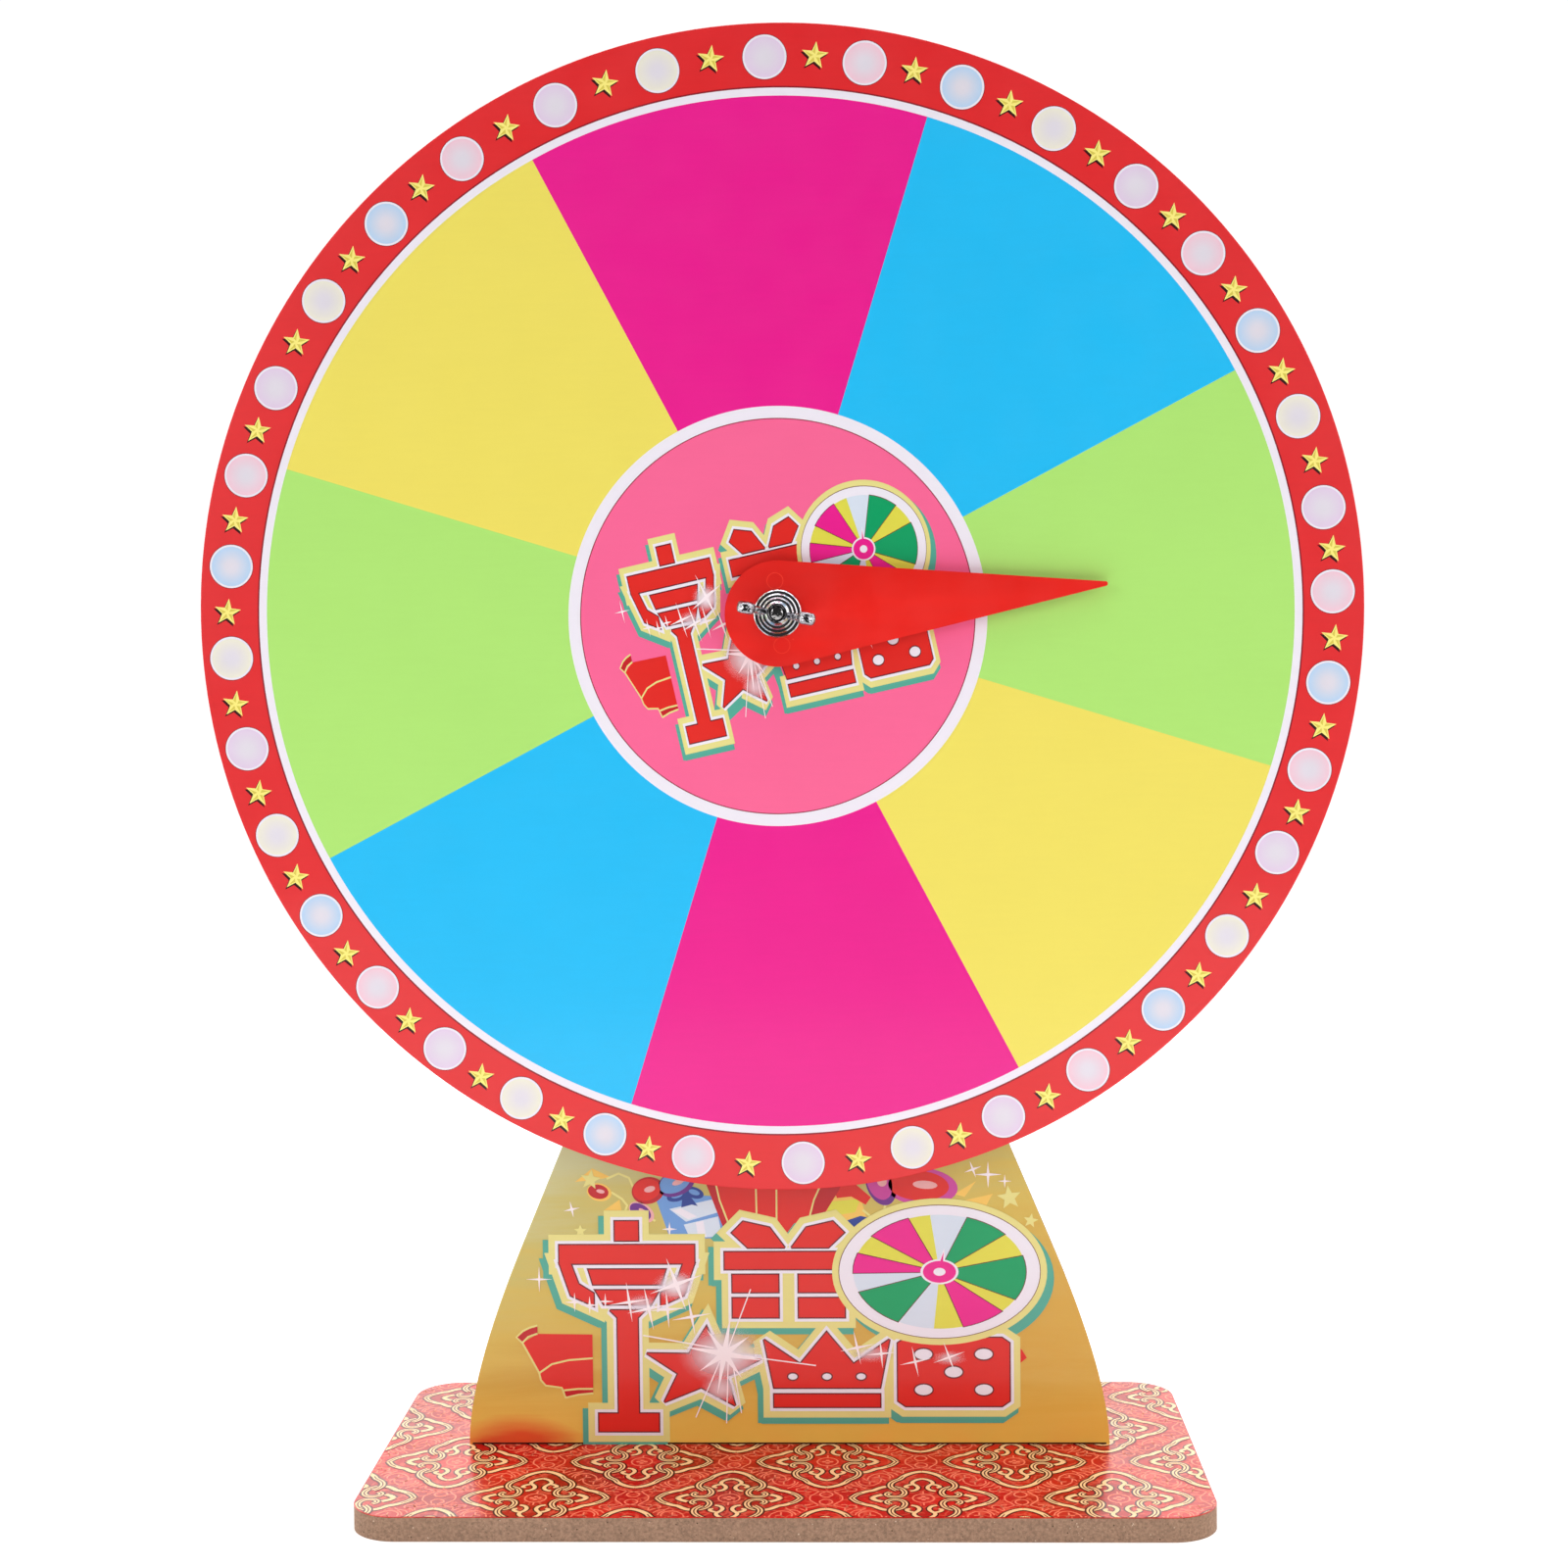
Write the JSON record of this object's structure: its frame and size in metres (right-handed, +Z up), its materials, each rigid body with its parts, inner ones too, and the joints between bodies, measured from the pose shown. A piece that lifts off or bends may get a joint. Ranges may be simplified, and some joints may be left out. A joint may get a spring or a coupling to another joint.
{
  "type": "prize wheel game spinner",
  "caption": "Tabletop prize wheel: a printed fibreboard disc spins on a bearing in front of a flared upright, with a pointer held by a wing nut.",
  "frame": {"origin": "centre of the base's underside", "axes": "+Z up, the printed face looks along -Y, and +X is to the right of a person who looks at it"},
  "size_m": [0.3, 0.11, 0.3772],
  "materials": {
    "fibreboard": "raw medium-density fibreboard",
    "disc_print": "printed film, satin gloss",
    "stand_print": "printed film, gloss",
    "base_print": "printed brocade film, high gloss",
    "pointer_plastic": "moulded, satin gloss",
    "chrome_hardware": "polished plate",
    "zinc_steel": "zinc plate",
    "bearing_steel": "ground steel",
    "ball_steel": "polished steel"
  },
  "bodies": {
    "stand": {"base_board": "fibreboard", "base_top_film": "base_print", "stand_board": "fibreboard", "stand_front_film": "stand_print", "rear_brace": "fibreboard", "spindle_bolt": "zinc_steel", "bolt_back_washer": "zinc_steel", "bolt_lock_nut": "zinc_steel", "rear_spacer": "zinc_steel", "front_spacer": "zinc_steel", "bearing_inner_ring": "bearing_steel"},
    "disc": {"disc_board": "fibreboard", "disc_face_film": "disc_print", "bearing_outer_ring": "bearing_steel", "bearing_front_shield": "bearing_steel", "bearing_rear_shield": "bearing_steel"},
    "balls": {"bearing_cage": "bearing_steel", "bearing_ball_1": "ball_steel", "bearing_ball_2": "ball_steel", "bearing_ball_3": "ball_steel", "bearing_ball_4": "ball_steel", "bearing_ball_5": "ball_steel", "bearing_ball_6": "ball_steel", "bearing_ball_7": "ball_steel"},
    "pointer": {"pointer": "pointer_plastic"},
    "washer": {"pointer_washer": "chrome_hardware"},
    "nut": {"wing_nut": "chrome_hardware"}
  },
  "joints": [
    {"name": "disc_spin", "type": "hinge", "parent": "stand", "child": "disc", "pos_m": [0, 0, 0.2272], "axis": [0, -1, 0], "continuous": true},
    {"name": "ball_orbit", "type": "hinge", "parent": "stand", "child": "balls", "pos_m": [0, 0, 0.2272], "axis": [0, -1, 0], "continuous": true},
    {"name": "pointer_turn", "type": "hinge", "parent": "stand", "child": "pointer", "pos_m": [0, 0, 0.2272], "axis": [0, -1, 0], "continuous": true},
    {"name": "nut_travel", "type": "slide", "parent": "stand", "child": "washer", "axis": [0, -1, 0], "range_m": [0, 0.0021]},
    {"name": "wing_nut_turn", "type": "hinge", "parent": "washer", "child": "nut", "pos_m": [0, 0, 0.2272], "axis": [0, -1, 0], "range_deg": [0, 1080]}
  ],
  "couplings": [
    {"joint": "ball_orbit", "follows": "disc_spin", "ratio": 0.64},
    {"joint": "nut_travel", "follows": "wing_nut_turn", "m_per_rad": 0.0001114}
  ]
}
